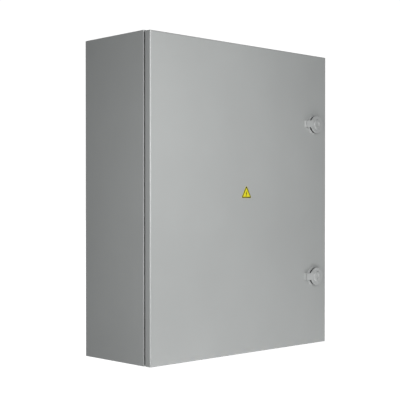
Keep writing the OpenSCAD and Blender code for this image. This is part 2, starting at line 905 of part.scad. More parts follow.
module motor_pinion() {
    step = 360 / pinion_teeth;
    color(zinc) translate([0, motor_y, motor_z]) union() {
        across(gear_x[0] - 1, gear_x[1] + 1) polygon([for (i = [0:pinion_teeth - 1])
            each tooth(mesh_angle + 180 + (i + 0.5) * step, pinion_teeth, gear_module)]);
        translate([gear_x[1], 0, 0]) rotate([0, 90, 0]) cylinder(h = 12, r = 3);
    }
}

module position_drum() {
    color([0.85, 0.15, 0.12]) difference() {
        bar_x(shaft_d, 0, 24, 148, 166);
        bar_x(shaft_d, 0, shaft_r, 147, 167);
    }
}

module manual_lever() {
    x = drive_x[1] + 4;
    color(dark) difference() {
        union() {
            bar_x(shaft_d, 0, 16, x, x + 12);
            slab(x + 2, x + 10, shaft_d, shaft_d + 92, -7, 7);
            bar_y(x + 6, 0, 9, shaft_d + 66, shaft_d + 100);
        }
        bar_x(shaft_d, 0, shaft_r, x - 1, x + 13);
    }
}

module drive_motor() {
    plate_top = -14;
    color(zinc) difference() {
        union() {
            translate([119, motor_y, motor_z]) rotate([0, 90, 0]) cylinder(h = 27, r = 15);
            slab(119, 122, plate_front, 86, -52, plate_top);
        }
        translate([118, motor_y, motor_z]) rotate([0, 90, 0]) cylinder(h = 12, r = 3.4);
    }
}

module drive_housing() {
    wall = 2.5;
    color(dark) difference() {
        forward(plate_front, drive_front) polygon(
            round_rect(drive_x[0], drive_x[1], -base_half, base_half, 3));
        slab(drive_x[0] + wall, drive_x[1] - wall, plate_front - 1, drive_front - wall,
            -base_half + wall, base_half - wall);
        bar_x(shaft_d, 0, shaft_r + 0.4, drive_x[0] - 1, drive_x[1] + 1);
        slab(149, 165, drive_front - 4, drive_front + 1, -9, 9);
    }
}

// ---- control row and bars ----

module din_rail() {
    half = 17.5;
    inner = 12.5;
    t = 1;
    color(zinc) across(-215, 215) translate([0, rail_z]) polygon([
        [-plate_front, inner], [-plate_front, -inner], [-rail_front + t, -inner], [-rail_front + t, -half],
        [-rail_front, -half], [-rail_front, -inner + t], [-plate_front - t, -inner + t],
        [-plate_front - t, inner - t], [-rail_front, inner - t], [-rail_front, half],
        [-rail_front + t, half], [-rail_front + t, inner]
    ]);
}

// Side outline of a device that clips on the rail, with a raised nose.
function din_outline(half, body, nose_half, nose) = [
    [-29.5, -half], [-body, -half], [-body, -nose_half], [-nose, -nose_half],
    [-nose, nose_half], [-body, nose_half], [-body, half], [-29.5, half],
    [-29.5, 18.2], [-35.3, 18.2], [-35.3, -18.2], [-29.5, -18.2]
];

module control_breaker() {
    color(moulded) translate([0, 0, rail_z]) difference() {
        across(control_x[0], control_x[1]) polygon(din_outline(din_half, 76, 22, 94));
        slab(control_mid - 13, control_mid + 13, control_toggle_d - 8, 95, -12, 12);
        for (x = [control_mid - 9, control_mid + 9], z = [-32, 32])
            bar_y(x, z, 3, 70, 77);
    }
}

module control_toggle() {
    color(dark) translate([0, -control_toggle_d, rail_z]) rotate([20, 0, 0])
        toggle(control_mid - 12, control_mid + 12, 5.5, 19, 4, 2.2);
}

module controller_case() {
    color(dark) difference() {
        translate([0, 0, rail_z])
            across(controller_x[0], controller_x[1]) polygon(din_outline(din_half, 62, 34, controller_front));
        slab(-12, 50, controller_front - 2, controller_front + 1, rail_z - 22, rail_z + 24);
        for (x = button_x) {
            bar_y(x, button_z, 5, controller_front - 6, controller_front + 1);
            bar_y(x, button_z, 6.6, controller_front - 9, controller_front - 4);
        }
    }
}

module controller_screen() {
    color([0.25, 0.35, 0.30]) forward(controller_front - 2, controller_front - 0.4)
        polygon(round_rect(-11.8, 49.8, rail_z - 21.8, rail_z + 23.8, 1));
}

module push_button(x) {
    color([0.2, 0.5, 0.3]) union() {
        bar_y(x, button_z, 4.6, controller_front - 6.5, controller_front + 2.5);
        bar_y(x, button_z, 6, controller_front - 6.5, controller_front - 4.4);
    }
}

module button_auto() {
    push_button(button_x[0]);
}

module button_test() {
    push_button(button_x[1]);
}

module terminal_blocks() {
    count = 10;
    pitch = 6.5;
    color(moulded) for (i = [0:count - 1]) translate([130 + i * pitch, 0, rail_z]) difference() {
        across(0, pitch - 0.1) polygon(din_outline(28, 62, 15, 72));
        for (z = [-21, 21])
            bar_y(pitch / 2, z, 2, 55, 63);
    }
}

module earth_style_bar(side) {
    x0 = side > 0 ? bar_ends[0] : -bar_ends[1];
    difference() {
        slab(x0, x0 + bar_ends[1] - bar_ends[0], bar_depth[0], bar_depth[1], bar_z - 10, bar_z + 10);
        for (x = bar_screw_x)
            bar_y(side * x, bar_z, bolt_r + 0.1, bar_depth[0] - 1, bar_depth[1] + 1);
    }
}

module neutral_bar() {
    color(copper) earth_style_bar(-1);
}

module earth_bar() {
    color(copper) earth_style_bar(1);
}

module bar_supports() {
    color([0.75, 0.18, 0.15]) for (x = [-188, -32, 32, 188]) union() {
        bar_y(x, bar_z, 11, plate_front, plate_front + 9);
        bar_y(x, bar_z, 9, plate_front + 8, plate_front + 20);
        bar_y(x, bar_z, 11, plate_front + 19, bar_depth[0]);
    }
}

// A slotted trunking along Z, centred on x = 0, between z0 and z1.
module trunking(z0, z1) {
    wall = 1.8;
    color([0.78, 0.79, 0.80]) difference() {
        slab(-duct_half, duct_half, plate_front, duct_front, z0, z1);
        slab(-duct_half + wall, duct_half - wall, plate_front + wall, duct_front + 1, z0 - 1, z1 + 1);
        for (z = [z0 + 22:slot_pitch:z1 - 10])
            slab(-duct_half - 1, duct_half + 1, 38, duct_front + 1, z - 4, z + 4);
    }
}

module trunking_cover(z0, z1) {
    color([0.80, 0.81, 0.82]) difference() {
        slab(-duct_half - 2, duct_half + 2, 70, duct_front + 2, z0, z1);
        slab(-duct_half - 0.1, duct_half + 0.1, 69, duct_front + 0.1, z0 - 1, z1 + 1);
    }
}

// The two upright ducts and the level one between them.
module duct_places() {
    for (side = [-1, 1])
        translate([side * duct_side_x, 0, 0]) children(0);
    translate([0, 0, (duct_z[0] + duct_z[1]) / 2]) rotate([0, 90, 0]) children(1);
}

module wire_ducts() {
    duct_places() {
        trunking(duct_z[0], breaker_z[1]);
        trunking(-219.5, 219.5);
    }
}

module duct_covers() {
    duct_places() {
        trunking_cover(duct_z[0], breaker_z[1]);
        trunking_cover(-219.5, 219.5);
    }
}

// Short drops from the control row's lower edges into the level duct, two through each slot.
module control_wires() {
    slots = [for (x = [-219.5 + 22:slot_pitch:209]) x];
    color([0.12, 0.2, 0.5]) for (x = slots) {
        on_device = (x > control_x[0] && x < control_x[1]) || (x > controller_x[0] && x < controller_x[1]);
        on_blocks = x > 132 && x < 193;
        if (on_device || on_blocks) for (dx = [-2, 2])
            bar_up(x + dx, 52, 1.2, duct_z[1] - 14, rail_z - (on_device ? din_half : 28));
    }
}

cabinet_shell();
gland_plate();
gland_plate_screws();
cable_grommets();
welded_studs();
stud_nuts();
mounting_plate();
door_bond_wire();
hinge_cabinet_leaves();
hinge_pins();
hinge_door_leaves();
door_panel();
door_gasket();
door_stiffeners();
door_earth_stud();
warning_sign();
lock_housing_upper();
lock_housing_lower();
lock_nuts();
lock_barrel_upper();
lock_barrel_lower();
lock_cam_upper();
lock_cam_lower();
cam_bolt_upper();
cam_bolt_lower();
dust_cover_upper();
dust_cover_lower();
source_breaker_1();
source_breaker_2();
breaker_toggle_1();
breaker_toggle_2();
breaker_terminals();
terminal_bolts();
changeover_base();
changeover_cover();
fixed_contacts();
source_1_links();
source_2_links();
changeover_shaft();
rotor_blades();
shaft_gear();
position_drum();
manual_lever();
drive_motor();
motor_pinion();
drive_housing();
din_rail();
control_breaker();
control_toggle();
controller_case();
controller_screen();
button_auto();
button_test();
terminal_blocks();
neutral_bar();
earth_bar();
bar_supports();
wire_ducts();
duct_covers();
control_wires();
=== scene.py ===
"""Looks for the automatic transfer switch: a grey wall cabinet with two locks on its door."""
import json
import math
import random

import bmesh
import bpy
from mathutils import Matrix, Vector


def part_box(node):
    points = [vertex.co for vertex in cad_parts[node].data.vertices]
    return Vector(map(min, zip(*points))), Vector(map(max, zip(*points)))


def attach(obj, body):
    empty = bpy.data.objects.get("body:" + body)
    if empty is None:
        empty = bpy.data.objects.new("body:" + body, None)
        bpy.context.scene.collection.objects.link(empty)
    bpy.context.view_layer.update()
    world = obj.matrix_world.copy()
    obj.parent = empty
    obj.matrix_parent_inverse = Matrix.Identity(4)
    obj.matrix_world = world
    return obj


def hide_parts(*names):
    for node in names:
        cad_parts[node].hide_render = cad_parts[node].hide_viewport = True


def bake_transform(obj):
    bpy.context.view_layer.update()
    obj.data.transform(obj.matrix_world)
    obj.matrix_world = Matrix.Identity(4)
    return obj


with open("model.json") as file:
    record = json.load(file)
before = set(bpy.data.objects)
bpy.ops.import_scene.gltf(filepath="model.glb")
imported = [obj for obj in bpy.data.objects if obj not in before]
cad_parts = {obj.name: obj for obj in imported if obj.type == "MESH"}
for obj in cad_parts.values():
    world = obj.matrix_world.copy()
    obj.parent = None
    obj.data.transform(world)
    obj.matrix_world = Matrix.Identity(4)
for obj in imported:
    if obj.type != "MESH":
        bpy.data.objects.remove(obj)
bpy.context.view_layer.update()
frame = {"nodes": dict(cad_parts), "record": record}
MM = 0.001
SHEET = 1.5  # the body's sheet, in millimetres
RING_R = 8  # the bonding wire's ring terminals
draw = random.Random(7)

SHELL_LOW, SHELL_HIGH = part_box("cabinet_shell")
DOOR_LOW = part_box("door_panel")[0]
DOOR_FACE = DOOR_LOW.y
MIDDLE = Vector((0, (DOOR_LOW.y + SHELL_HIGH.y) / 2, (SHELL_LOW.z + SHELL_HIGH.z) / 2))


# ---------------------------------------------------------------- camera, floor and lights

CAMERA_AZIMUTH = math.radians(-43.663)
CAMERA_ELEVATION = math.radians(0.711)
CAMERA_DISTANCE = 2.624973
CAMERA_RIGHT = -0.031445
CAMERA_UP = -0.04527
SENSOR_MM = 36
LENS_MM = 88.28091
SHIFT_UP = 0.0401025
WORLD_LIGHT = 0.10
WHITE_GLOW = 1.05  # a little over white, so that the background stays plain
FLOOR_HEIGHT = SHELL_LOW.z - 0.9


def make_camera():
    """A long lens, level with the cabinet's middle and to its left."""
    flat = math.cos(CAMERA_ELEVATION)
    back = Vector((math.sin(CAMERA_AZIMUTH) * flat, -math.cos(CAMERA_AZIMUTH) * flat,
                   math.sin(CAMERA_ELEVATION)))
    right = Vector((math.cos(CAMERA_AZIMUTH), math.sin(CAMERA_AZIMUTH), 0))
    up = back.cross(right)
    data = bpy.data.cameras.new("camera")
    data.sensor_width = SENSOR_MM
    data.lens = LENS_MM
    data.shift_y = SHIFT_UP
    data.clip_end = 100
    camera = bpy.data.objects.new("camera", data)
    bpy.context.collection.objects.link(camera)
    turn = Matrix((right, up, back)).transposed()
    place = MIDDLE + back * CAMERA_DISTANCE + right * CAMERA_RIGHT + up * CAMERA_UP
    camera.matrix_world = Matrix.Translation(place) @ turn.to_4x4()
    bpy.context.scene.camera = camera


def area_light(name, place, target, size, power):
    """A white rectangular light that points at its target and isn't seen by the camera."""
    data = bpy.data.lights.new(name, "AREA")
    data.shape = "RECTANGLE"
    data.size, data.size_y = size
    data.energy = power
    light = bpy.data.objects.new(name, data)
    bpy.context.collection.objects.link(light)
    light.location = place
    light.rotation_mode = "QUATERNION"
    light.rotation_quaternion = (Vector(target) - Vector(place)).to_track_quat("-Z", "Y")
    light.visible_camera = False


def make_world():
    """White for the eye, softer as a light."""
    world = bpy.data.worlds.new("studio")
    bpy.context.scene.world = world
    world.use_nodes = True
    nodes, links = world.node_tree.nodes, world.node_tree.links
    nodes.clear()
    out = nodes.new("ShaderNodeOutputWorld")
    path = nodes.new("ShaderNodeLightPath")
    mix = nodes.new("ShaderNodeMixShader")
    seen, lit = nodes.new("ShaderNodeBackground"), nodes.new("ShaderNodeBackground")
    seen.inputs["Color"].default_value = (1, 1, 1, 1)
    seen.inputs["Strength"].default_value = WHITE_GLOW
    lit.inputs["Color"].default_value = (0.93, 0.97, 1.0, 1)
    lit.inputs["Strength"].default_value = WORLD_LIGHT
    links.new(path.outputs["Is Camera Ray"], mix.inputs[0])
    links.new(lit.outputs[0], mix.inputs[1])
    links.new(seen.outputs[0], mix.inputs[2])
    links.new(mix.outputs[0], out.inputs["Surface"])


def make_floor():
    """A pale floor well below the cabinet, which hangs at the height of a wall box."""
    mesh = bpy.data.meshes.new("floor")
    half, height = 60, FLOOR_HEIGHT
    mesh.from_pydata([(-half, -half, height), (half, -half, height), (half, half, height),
                      (-half, half, height)], [], [(0, 1, 2, 3)])
    floor = bpy.data.objects.new("floor", mesh)
    bpy.context.collection.objects.link(floor)
    material = bpy.data.materials.new("pale_floor")
    material.use_nodes = True
    nodes, links = material.node_tree.nodes, material.node_tree.links
    nodes.clear()
    out = nodes.new("ShaderNodeOutputMaterial")
    path = nodes.new("ShaderNodeLightPath")
    diffuse, glow = nodes.new("ShaderNodeBsdfDiffuse"), nodes.new("ShaderNodeEmission")
    add, mix = nodes.new("ShaderNodeAddShader"), nodes.new("ShaderNodeMixShader")
    diffuse.inputs["Color"].default_value = (0.8, 0.8, 0.8, 1)
    glow.inputs["Strength"].default_value = WHITE_GLOW
    links.new(diffuse.outputs[0], add.inputs[0])
    links.new(glow.outputs[0], add.inputs[1])
    links.new(path.outputs["Is Camera Ray"], mix.inputs[0])
    links.new(diffuse.outputs[0], mix.inputs[1])
    links.new(add.outputs[0], mix.inputs[2])
    links.new(mix.outputs[0], out.inputs["Surface"])
    mesh.materials.append(material)


make_camera()
make_world()
make_floor()
bpy.context.scene.view_settings.view_transform = "Standard"
for name, place, target, size, power in (
        ("key", (-0.4, -1.3, 0.3), (0, -0.2, 0), (0.8, 0.8), 8.35),
        ("high", (-0.3, -1.6, 0.7), (0, -0.2, 0.1), (0.9, 0.9), 0.95),
        ("left", (-1.2, -0.7, 0.0), (-0.2, -0.15, 0), (0.6, 0.6), 2.3),
        ("left_low", (-1.3, -0.9, -0.35), (-0.2, -0.15, 0), (0.6, 0.6), 3.35),
        ("table", (0.25, -0.75, -0.75), (0.15, -0.25, -0.3), (0.8, 0.4), 1.45),
        ("table_wide", (0.1, -1.1, -0.9), (0.05, -0.25, -0.2), (1.0, 0.5), 1.25),
        ("behind", (2.2, 2.4, 0.5), (0, 0, 0), (1.5, 1.5), 60)):
    area_light(name, place, target, size, power)


# ---------------------------------------------------------------- materials

class Shader:
    """Wires one principled material, with its textures placed in the object's own metres."""

    def __init__(self, name):
        self.material = bpy.data.materials.new(name)
        self.material.use_nodes = True
        self.nodes = self.material.node_tree.nodes
        self.links = self.material.node_tree.links
        self.main = self.nodes["Principled BSDF"]
        self.place = self.nodes.new("ShaderNodeTexCoord").outputs["Object"]

    def set(self, **values):
        for key, value in values.items():
            title = TITLES.get(key, key.replace("_", " ").capitalize())
            self.main.inputs[title].default_value = value
        return self

    def noise(self, scale, detail=2.0, roughness=0.5, stretch=None):
        node = self.nodes.new("ShaderNodeTexNoise")
        node.inputs["Scale"].default_value = scale
        node.inputs["Detail"].default_value = detail
        node.inputs["Roughness"].default_value = roughness
        source = self.place
        if stretch:
            mapping = self.nodes.new("ShaderNodeMapping")
            mapping.inputs["Scale"].default_value = stretch
            self.links.new(self.place, mapping.inputs["Vector"])
            source = mapping.outputs["Vector"]
        self.links.new(source, node.inputs["Vector"])
        return node.outputs["Fac"]

    def cells(self, scale):
        node = self.nodes.new("ShaderNodeTexVoronoi")
        node.inputs["Scale"].default_value = scale
        self.links.new(self.place, node.inputs["Vector"])
        return node

    def ramp(self, value, stops):
        """Colours at positions: [(position, (r, g, b)), ...]."""
        node = self.nodes.new("ShaderNodeValToRGB")
        node.color_ramp.elements[0].position = stops[0][0]
        node.color_ramp.elements[0].color = (*stops[0][1], 1)
        node.color_ramp.elements[1].position = stops[-1][0]
        node.color_ramp.elements[1].color = (*stops[-1][1], 1)
        for position, colour in stops[1:-1]:
            node.color_ramp.elements.new(position).color = (*colour, 1)
        self.links.new(value, node.inputs["Fac"])
        return node.outputs["Color"]

    def range(self, value, low, high, source=(0.3, 0.7)):
        node = self.nodes.new("ShaderNodeMapRange")
        node.inputs["From Min"].default_value, node.inputs["From Max"].default_value = source
        node.inputs["To Min"].default_value, node.inputs["To Max"].default_value = low, high
        self.links.new(value, node.inputs["Value"])
        return node.outputs["Result"]

    def bump(self, value, strength, distance):
        node = self.nodes.new("ShaderNodeBump")
        node.inputs["Strength"].default_value = strength
        node.inputs["Distance"].default_value = distance
        self.links.new(value, node.inputs["Height"])
        before = self.main.inputs["Normal"]
        if before.is_linked:
            self.links.new(before.links[0].from_socket, node.inputs["Normal"])
        self.links.new(node.outputs["Normal"], before)

    def link(self, value, socket):
        self.links.new(value, self.main.inputs[socket])

    def times(self, colour, value):
        node = self.nodes.new("ShaderNodeMix")
        node.data_type, node.blend_type = "RGBA", "MULTIPLY"
        node.inputs["Factor"].default_value = 1
        node.clamp_result = False
        self.links.new(colour, node.inputs[6])
        self.links.new(value, node.inputs[7])
        return node.outputs[2]

    def painted_crevice_shade(self, reach):
        """Ambient occlusion used as a colour factor for painted shade: 1 in the open, less where other
        surfaces lie within reach.
        """
        node = self.nodes.new("ShaderNodeAmbientOcclusion")
        node.samples = 6
        node.inputs["Distance"].default_value = reach
        return node.outputs["AO"]


TITLES = {"ior": "IOR", "specular": "Specular IOR Level", "coat": "Coat Weight", "base": "Base Color",
          "coat_roughness": "Coat Roughness", "transmission": "Transmission Weight"}


def tint(colour, factor):
    """The colour made lighter or darker."""
    return tuple(min(1.0, c * factor) for c in colour)


def powder_coat(name, colour, painted_seam_shade):
    """Satin powder coat: orange peel, faint cloudiness, and painted shade where two sheets nearly meet."""
    s = Shader(name).set(specular=0.8, coat=0.8, coat_roughness=0.2)
    tone = s.ramp(s.noise(5.5, 3, 0.55), [(0.3, tint(colour, 0.975)), (0.7, tint(colour, 1.02))])
    if painted_seam_shade:
        # painted shade: the base colour darkens, down to 3 %, where other surfaces lie within 30 mm, as in
        # the seam round the door
        tone = s.times(tone, s.range(s.painted_crevice_shade(0.03), 0.03, 1.0, (0.38, 0.72)))
    s.link(tone, "Base Color")
    s.link(s.range(s.noise(60, 2), 0.29, 0.38), "Roughness")
    s.bump(s.noise(260, 2, 0.5), 0.08, 0.0005)
    s.bump(s.noise(1500, 1, 0.5), 0.08, 0.0002)
    return s.material


def plated(name, colour, rough=(0.24, 0.42)):
    """Zinc plate: cloudy, slightly yellowed, with fine drawing marks."""
    s = Shader(name).set(metallic=1.0)
    cloud = s.noise(70, 4, 0.6)
    warm = (colour[0] * 1.02, colour[1] * 0.99, colour[2] * 0.92)
    s.link(s.ramp(cloud, [(0.3, tint(colour, 0.86)), (0.52, colour), (0.75, warm)]), "Base Color")
    s.link(s.range(s.noise(220, 3), *rough), "Roughness")
    s.bump(s.noise(900, 3, 0.6, (1, 1, 0.08)), 0.10, 0.0002)
    return s.material


def galvanised(name, colour):
    """Galvanised sheet: broad crystal spangle."""
    s = Shader(name).set(metallic=1.0)
    cells = s.cells(90)
    s.link(s.ramp(cells.outputs["Color"], [(0.0, tint(colour, 0.80)), (1.0, tint(colour, 1.05))]),
           "Base Color")
    s.link(s.range(cells.outputs["Color"], 0.34, 0.52, (0, 1)), "Roughness")
    s.bump(s.noise(700, 3), 0.06, 0.0002)
    return s.material


def moulded(name, colour, rough=(0.42, 0.55), grain=1400, depth=0.12):
    """Moulded plastic with a spark-eroded grain."""
    s = Shader(name).set(specular=0.45)
    s.link(s.ramp(s.noise(24, 3), [(0.3, tint(colour, 0.95)), (0.7, tint(colour, 1.04))]), "Base Color")
    s.link(s.range(s.noise(90, 2), *rough), "Roughness")
    s.bump(s.noise(grain, 2, 0.6), depth, 0.0002)
    return s.material


def soft_rubber(name, colour):
    """Matt rubber or foam with pores and a dusty bloom."""
    s = Shader(name).set(specular=0.3)
    s.link(s.ramp(s.noise(120, 4), [(0.3, colour), (0.75, tint(colour, 1.7))]), "Base Color")
    s.link(s.range(s.noise(60, 2), 0.72, 0.9), "Roughness")
    s.bump(s.cells(1800).outputs["Distance"], 0.25, 0.0003)
    return s.material


def bare_copper(name, colour):
    """Rolled copper bar with a light brown bloom and rolling lines."""
    s = Shader(name).set(metallic=1.0)
    bloom = s.noise(28, 4, 0.6)
    brown = (colour[0] * 0.78, colour[1] * 0.66, colour[2] * 0.58)
    s.link(s.ramp(bloom, [(0.28, brown), (0.5, colour), (0.75, tint(colour, 1.06))]), "Base Color")
    s.link(s.range(s.noise(160, 3), 0.26, 0.46), "Roughness")
    s.bump(s.noise(1100, 2, 0.5, (1, 1, 0.06)), 0.10, 0.0002)
    return s.material


def clear_window(name, colour):
    """Clear moulded plastic, slightly uneven."""
    s = Shader(name).set(base=(*colour, 1), roughness=0.06, transmission=0.85, ior=1.49)
    s.link(s.range(s.noise(180, 2), 0.04, 0.10), "Roughness")
    return s.material


GREY = (0.497, 0.510, 0.503)
# The shell's coat carries painted shade in its seams; the door's coat has none.
PAINT = powder_coat("powder_coat", GREY, True)
DOOR_PAINT = powder_coat("door_powder_coat", GREY, False)
PAINT_PLASTIC = moulded("lock_plastic", (0.50, 0.51, 0.505), (0.30, 0.42), 1600, 0.06)
ZINC = plated("zinc_plate", (0.66, 0.67, 0.68))
GALVANISED = galvanised("galvanised_sheet", (0.62, 0.64, 0.65))
STEEL = plated("ground_steel", (0.56, 0.57, 0.59), (0.2, 0.34))
COPPER = bare_copper("bare_copper", (0.80, 0.44, 0.28))
RUBBER = soft_rubber("black_rubber", (0.022, 0.022, 0.023))
FOAM = soft_rubber("foam_gasket", (0.045, 0.046, 0.048))
DARK = moulded("dark_plastic", (0.035, 0.037, 0.041))
LIGHT = moulded("light_plastic", (0.62, 0.61, 0.56))
WHITE = moulded("white_plastic", (0.80, 0.80, 0.77), (0.28, 0.38))
RED = moulded("red_plastic", (0.50, 0.040, 0.030))
GREEN = moulded("green_plastic", (0.03, 0.26, 0.09), (0.25, 0.35))
DUCT = moulded("duct_plastic", (0.50, 0.52, 0.54), (0.45, 0.6))
YELLOW = moulded("sign_yellow", (0.85, 0.76, 0.03), (0.30, 0.38), 900, 0.04)
INK = moulded("printed_ink", (0.018, 0.018, 0.018), (0.32, 0.42), 900, 0.04)
BLUE = moulded("blue_insulation", (0.03, 0.07, 0.30), (0.30, 0.42))
EARTH_GREEN = moulded("earth_green", (0.05, 0.30, 0.06), (0.30, 0.42))
EARTH_YELLOW = moulded("earth_yellow", (0.75, 0.62, 0.05), (0.30, 0.42))
SCREEN = clear_window("display_window", (0.55, 0.62, 0.58))
WINDOW = clear_window("clear_window", (0.9, 0.92, 0.92))

LOOKS = {
    PAINT: ["cabinet_shell"],
    DOOR_PAINT: ["door_panel"],
    PAINT_PLASTIC: ["lock_housing_upper", "lock_housing_lower", "dust_cover_upper", "dust_cover_lower"],
    GALVANISED: ["gland_plate", "mounting_plate", "door_stiffeners", "din_rail"],
    ZINC: ["gland_plate_screws", "welded_studs", "stud_nuts", "hinge_cabinet_leaves", "hinge_door_leaves",
           "door_earth_stud", "lock_nuts", "lock_cam_upper", "lock_cam_lower", "cam_bolt_upper",
           "cam_bolt_lower", "terminal_bolts", "drive_motor"],
    STEEL: ["hinge_pins", "lock_barrel_upper", "lock_barrel_lower", "changeover_shaft", "shaft_gear",
            "motor_pinion"],
    COPPER: ["breaker_terminals", "fixed_contacts", "source_1_links", "source_2_links", "rotor_blades",
             "neutral_bar", "earth_bar"],
    RUBBER: ["cable_grommets"],
    FOAM: ["door_gasket"],
    DARK: ["source_breaker_1", "source_breaker_2", "manual_lever", "drive_housing", "control_toggle",
           "controller_case"],
    LIGHT: ["changeover_base", "changeover_cover", "control_breaker", "terminal_blocks"],
    WHITE: ["breaker_toggle_1", "breaker_toggle_2"],
    RED: ["position_drum", "bar_supports"],
    GREEN: ["button_auto", "button_test"],
    DUCT: ["wire_ducts", "duct_covers"],
    YELLOW: ["warning_sign"],
    BLUE: ["control_wires"],
    EARTH_GREEN: ["door_bond_wire"],
    SCREEN: ["controller_screen"],
}


# ---------------------------------------------------------------- CAD nodes: edges, smoothing, finish

SHEET_METAL = {"cabinet_shell": 0.25, "door_panel": 0.25, "mounting_plate": 0.3, "door_stiffeners": 0.2,
               "gland_plate": 0.3, "din_rail": 0.15, "warning_sign": 0.05}
SMALL_EDGES = {"control_wires": 0, "shaft_gear": 0.08, "motor_pinion": 0.08, "controller_screen": 0.2,
               "terminal_blocks": 0.3, "wire_ducts": 0.2, "duct_covers": 0.4, "hinge_cabinet_leaves": 0.2,
               "hinge_door_leaves": 0.2, "hinge_pins": 0.2, "terminal_bolts": 0.25, "welded_studs": 0.3,
               "stud_nuts": 0.3, "gland_plate_screws": 0.3, "door_earth_stud": 0.2,
               "dust_cover_upper": 0.3, "dust_cover_lower": 0.3, "lock_housing_upper": 0.3,
               "lock_housing_lower": 0.3}
USUAL_EDGE = 0.5
SMOOTH_ANGLE = math.radians(32)


def soften(piece, width):
    """Rounds sharp edges by width, in millimetres, and keeps flat faces flat."""
    if width:
        bevel = piece.modifiers.new("softened_edges", "BEVEL")
        bevel.width = width * MM
        bevel.segments = 2
        bevel.limit_method = "ANGLE"
        bevel.angle_limit = SMOOTH_ANGLE
    weigh = piece.modifiers.new("flat_faces_stay_flat", "WEIGHTED_NORMAL")
    weigh.keep_sharp = True


def finish_node(name, material):
    """Gives a carried-over node its material, smooth curved faces and softened edges."""
    node = frame["nodes"][name]
    mesh = node.data
    mesh.materials.clear()
    mesh.materials.append(material)
    for face in mesh.polygons:
        face.use_smooth = True
        face.material_index = 0
    mesh.set_sharp_from_angle(angle=SMOOTH_ANGLE)
    soften(node, SHEET_METAL.get(name, SMALL_EDGES.get(name, USUAL_EDGE)))


for look, names in LOOKS.items():
    for node_name in names:
        finish_node(node_name, look)


# ---------------------------------------------------------------- pieces made here, in millimetres

AXES = {"out": (Vector((0, -1, 0)), Vector((1, 0, 0)), Vector((0, 0, 1))),
        "up": (Vector((0, 0, 1)), Vector((1, 0, 0)), Vector((0, 1, 0))),
        "right": (Vector((1, 0, 0)), Vector((0, 1, 0)), Vector((0, 0, 1)))}


class Piece:
    """Collects closed solids, in millimetres, then builds them as one object."""

    def __init__(self):
        self.verts, self.faces, self.looks = [], [], []

    def add(self, verts, faces, look=0):
        start = len(self.verts)
        self.verts += [tuple(c * MM for c in v) for v in verts]
        self.faces += [tuple(start + i for i in face) for face in faces]
        self.looks += look if isinstance(look, list) else [look] * len(faces)
        return self

    def loft(self, loops, look=0, closed=False):
        """Joins loops of equally many points; closed also joins the last loop to the first."""
        n, count = len(loops[0]), len(loops)
        bands = count if closed else count - 1
        pairs = [(a * n, (a + 1) % count * n) for a in range(bands)]
        faces = [(this + i, this + (i + 1) % n, after + (i + 1) % n, after + i)
                 for this, after in pairs for i in range(n)]
        if not closed:
            faces += [tuple(range(n - 1, -1, -1)), tuple((count - 1) * n + i for i in range(n))]
        if callable(look):
            look = [look(i) for _ in range(bands) for i in range(n)]
            look += [] if closed else [look[0]] * 2
        return self.add([v for loop in loops for v in loop], faces, look)

    def turned(self, profile, place, axis, sides=48, look=0, closed=False):
        """Turns [radius, along] points about an axis: "out" points out of the door, "up" is +Z."""
        along, u, v = AXES[axis]
        place = Vector(place)
        return self.loft([[place + along * h + (u * math.cos(t) + v * math.sin(t)) * max(r, 0.01)
                           for t in (2 * math.pi * i / sides for i in range(sides))] for r, h in profile],
                         look, closed)

    def plate(self, outline, back, front, look=0):
        """An x-z outline between two y values."""
        return self.loft([[(x, y, z) for x, z in outline] for y in (back, front)], look)

    def border(self, outer, inner, back, front, look=0):
        """The band between two x-z outlines of equally many points."""
        return self.loft([[(x, y, z) for x, z in outline] for outline, y in
                          ((outer, back), (outer, front), (inner, front), (inner, back))], look, True)

    def tube(self, path, radius, sides=12, look=0, twist=0.0):
        """A round bar along a path; twist turns each ring past the one before."""
        path = [Vector(p) for p in path]
        side, loops = None, []
        for i, point in enumerate(path):
            ahead = (path[min(i + 1, len(path) - 1)] - path[max(i - 1, 0)]).normalized()
            side = (side or ahead.orthogonal()).copy()
            side = (side - ahead * side.dot(ahead)).normalized()
            up = ahead.cross(side)
            loops.append([point + (side * math.cos(t) + up * math.sin(t)) * radius
                          for t in (2 * math.pi * j / sides + twist * i for j in range(sides))])
        return self.loft(loops, look)

    def screw(self, x, y, z, r, turn, look=0):
        """A slotted cheese head seated at y."""
        self.turned([(0, 0), (r, 0), (r, 0.35 * r), (0, 0.35 * r)], (x, y, z), "out", 24, look)
        for half in (0, 180):
            cut = 12
            outline = arc(0, 0, 0.97 * r, half + cut, half + 180 - cut, 10)
            a = math.radians(turn)
            self.plate([(x + px * math.cos(a) - pz * math.sin(a), z + px * math.sin(a) + pz * math.cos(a))
                        for px, pz in outline], y - 0.35 * r, y - 0.72 * r, look)
        return self

    def build(self, name, looks, body=None, slot=None, bevel=0.0):
        """Makes the object; it rides the body, if one is given; slot is not used."""
        mesh = bpy.data.meshes.new(name)
        mesh.from_pydata(self.verts, [], self.faces)
        for look in looks:
            mesh.materials.append(look)
        for face, look in zip(mesh.polygons, self.looks):
            face.material_index = look
            face.use_smooth = True
        work = bmesh.new()
        work.from_mesh(mesh)
        bmesh.ops.recalc_face_normals(work, faces=work.faces)
        work.to_mesh(mesh)
        work.free()
        mesh.set_sharp_from_angle(angle=SMOOTH_ANGLE)
        piece = bpy.data.objects.new(name, mesh)
        bpy.context.collection.objects.link(piece)
        soften(piece, bevel)
        if body:
            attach(piece, body)
        return piece


def arc(x, z, r, start, end, steps):
    """Points on an arc, from one angle to another in degrees."""
    return [(x + r * math.cos(math.radians(start + (end - start) * i / steps)),
             z + r * math.sin(math.radians(start + (end - start) * i / steps))) for i in range(steps + 1)]


